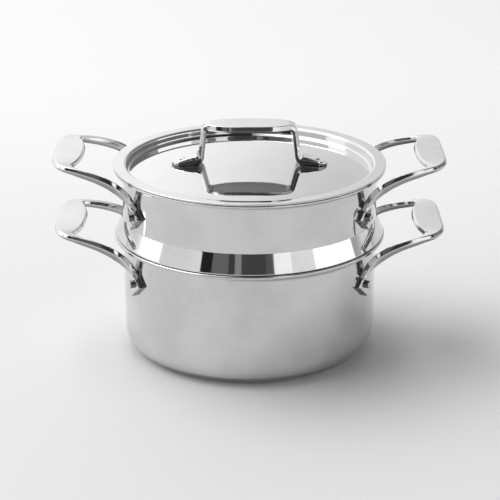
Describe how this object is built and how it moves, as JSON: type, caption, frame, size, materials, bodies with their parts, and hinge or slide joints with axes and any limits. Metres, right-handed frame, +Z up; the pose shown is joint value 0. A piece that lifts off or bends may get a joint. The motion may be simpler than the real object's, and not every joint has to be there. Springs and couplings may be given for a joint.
{
  "type": "steamer pot",
  "caption": "Stacked steamer pot: a straight-sided pot with a flared lip, a pierced insert that nests in it and a sunken lid, with riveted loop handles and a strap handle on the lid.",
  "frame": {"origin": "middle of the pot's flat underside", "axes": "+Z up along the pot's axis, +X along the side handles, -Y towards the front of the picture"},
  "size_m": [0.3172, 0.2222, 0.1888],
  "materials": {
    "pot_steel": "polished stainless, faintly brushed",
    "insert_steel": "mirror polished stainless",
    "lid_steel": "mirror polished stainless",
    "handle_steel": "polished cast stainless",
    "rivet_steel": "polished stainless"
  },
  "bodies": {
    "pot": {"pot_body": "pot_steel", "pot_handle_left": "handle_steel", "pot_handle_right": "handle_steel", "pot_rivet_left_front": "rivet_steel", "pot_rivet_left_back": "rivet_steel", "pot_rivet_right_front": "rivet_steel", "pot_rivet_right_back": "rivet_steel"},
    "insert": {"insert_body": "insert_steel", "insert_handle_left": "handle_steel", "insert_handle_right": "handle_steel", "insert_rivet_left_front": "rivet_steel", "insert_rivet_left_back": "rivet_steel", "insert_rivet_right_front": "rivet_steel", "insert_rivet_right_back": "rivet_steel"},
    "lid": {"lid_panel": "lid_steel", "lid_handle": "handle_steel", "lid_rivet_left": "rivet_steel", "lid_rivet_right": "rivet_steel"}
  },
  "joints": [
    {"name": "insert_lift", "type": "slide", "parent": "pot", "child": "insert", "axis": [0, 0, 1], "range_m": [0, 0.12]},
    {"name": "lid_lift", "type": "slide", "parent": "insert", "child": "lid", "axis": [0, 0, 1], "range_m": [0, 0.1]}
  ]
}
